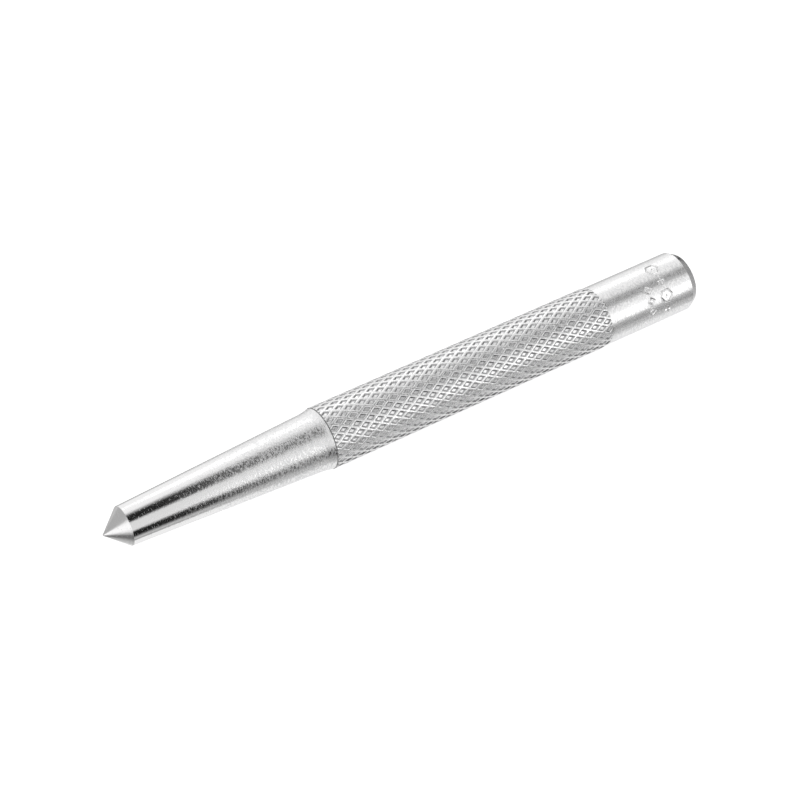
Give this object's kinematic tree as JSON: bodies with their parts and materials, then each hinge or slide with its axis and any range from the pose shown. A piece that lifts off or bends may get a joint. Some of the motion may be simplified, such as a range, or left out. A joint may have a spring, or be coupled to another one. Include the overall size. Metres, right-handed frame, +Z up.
{
  "type": "center punch",
  "caption": "Solid steel center punch with a ground conical point, a tapered shank, a diamond-knurled grip and a plain chamfered head.",
  "frame": {"origin": "the tip of the point, on the bar's axis", "axes": "+X along the bar from the point to the struck end, +Z up with the tool lying on its side"},
  "size_m": [0.102, 0.0098, 0.0098],
  "materials": {
    "plated_steel": "satin bright plate over turned and ground tool steel, with fine turning lines round the bar"
  },
  "bodies": {
    "root": {"punch_body": "plated_steel"}
  },
  "joints": []
}
